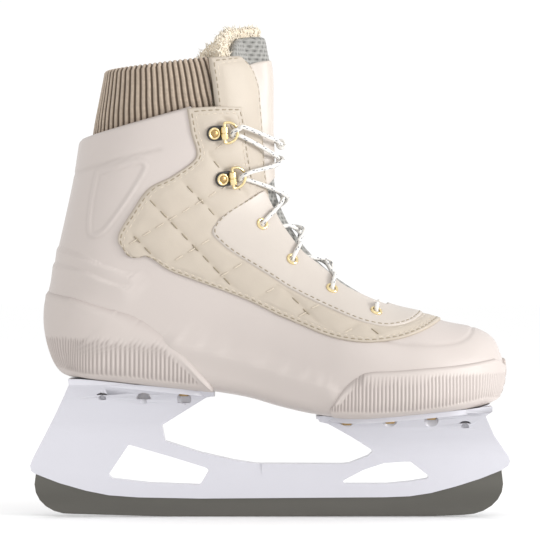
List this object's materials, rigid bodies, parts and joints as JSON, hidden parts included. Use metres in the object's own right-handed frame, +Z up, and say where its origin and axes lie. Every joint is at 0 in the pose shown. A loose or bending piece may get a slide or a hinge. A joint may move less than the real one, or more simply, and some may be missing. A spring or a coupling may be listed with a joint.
{
  "type": "ice skate",
  "caption": "Right-foot lace-up ice skate: moulded boot with quilted leather upper, knit cuff, fur-lined tongue, plastic blade holder and steel runner.",
  "frame": {"origin": "middle of the runner's lower edge, on the runner's middle plane", "axes": "+X towards the toe, +Y towards the inner (medial) side, +Z up from the ice"},
  "size_m": [0.2918, 0.1014, 0.2979],
  "materials": {
    "shell": "satin",
    "bumper": "satin",
    "holder": "semi-gloss",
    "steel": "ground",
    "rivet": "satin",
    "hardware_steel": "satin",
    "quilted_leather": "matt grain",
    "smooth_leather": "satin grain",
    "knit": "ribbed",
    "mesh": "matt",
    "fur": "soft pile",
    "lining": "soft",
    "board": "matt",
    "foam": "matt",
    "lace": "braided",
    "gold": "polished",
    "black_plate": "satin"
  },
  "bodies": {
    "boot": {"runner": "steel", "blade_holder": "holder", "rear_rivets": "rivet", "front_rivets": "rivet", "rear_washers": "hardware_steel", "front_washers": "hardware_steel", "runner_bolts": "hardware_steel", "runner_nuts": "hardware_steel", "boot_shell": "shell", "heel_bumper": "bumper", "toe_bumper": "bumper", "insole_board": "board", "footbed": "foam", "liner": "lining", "quarter_lateral": "quilted_leather", "quarter_medial": "quilted_leather", "eyestay_lateral": "smooth_leather", "eyestay_medial": "smooth_leather", "knit_cuff": "knit", "collar_flap_lateral": "quilted_leather", "collar_flap_medial": "quilted_leather", "tongue": "mesh", "tongue_patch": "smooth_leather", "tongue_fur": "fur", "eyelets_lateral": "gold", "eyelets_medial": "gold", "hook_rivets": "gold", "lace": "lace", "lace_knot": "lace", "hook_upper_lateral": "black_plate", "hook_lower_lateral": "black_plate", "hook_upper_medial": "black_plate", "hook_lower_medial": "black_plate"},
    "ring_upper_lateral": {"ring_upper_lateral": "gold"},
    "ring_lower_lateral": {"ring_lower_lateral": "gold"},
    "ring_upper_medial": {"ring_upper_medial": "gold"},
    "ring_lower_medial": {"ring_lower_medial": "gold"}
  },
  "joints": [
    {"name": "ring_upper_lateral_hinge", "type": "hinge", "parent": "boot", "child": "ring_upper_lateral", "pos_m": [-0.02718, -0.0401, 0.23236], "axis": [0.0386, 0.1537, -0.9874], "range_deg": [-4, 8]},
    {"name": "ring_lower_lateral_hinge", "type": "hinge", "parent": "boot", "child": "ring_lower_lateral", "pos_m": [-0.0223, -0.03224, 0.20543], "axis": [0.0719, 0.2119, -0.9746], "range_deg": [-4, 8]},
    {"name": "ring_upper_medial_hinge", "type": "hinge", "parent": "boot", "child": "ring_upper_medial", "pos_m": [-0.02718, 0.0401, 0.23236], "axis": [-0.0386, 0.1537, 0.9874], "range_deg": [-4, 8]},
    {"name": "ring_lower_medial_hinge", "type": "hinge", "parent": "boot", "child": "ring_lower_medial", "pos_m": [-0.0223, 0.03224, 0.20543], "axis": [-0.0719, 0.2119, 0.9746], "range_deg": [-4, 8]}
  ]
}
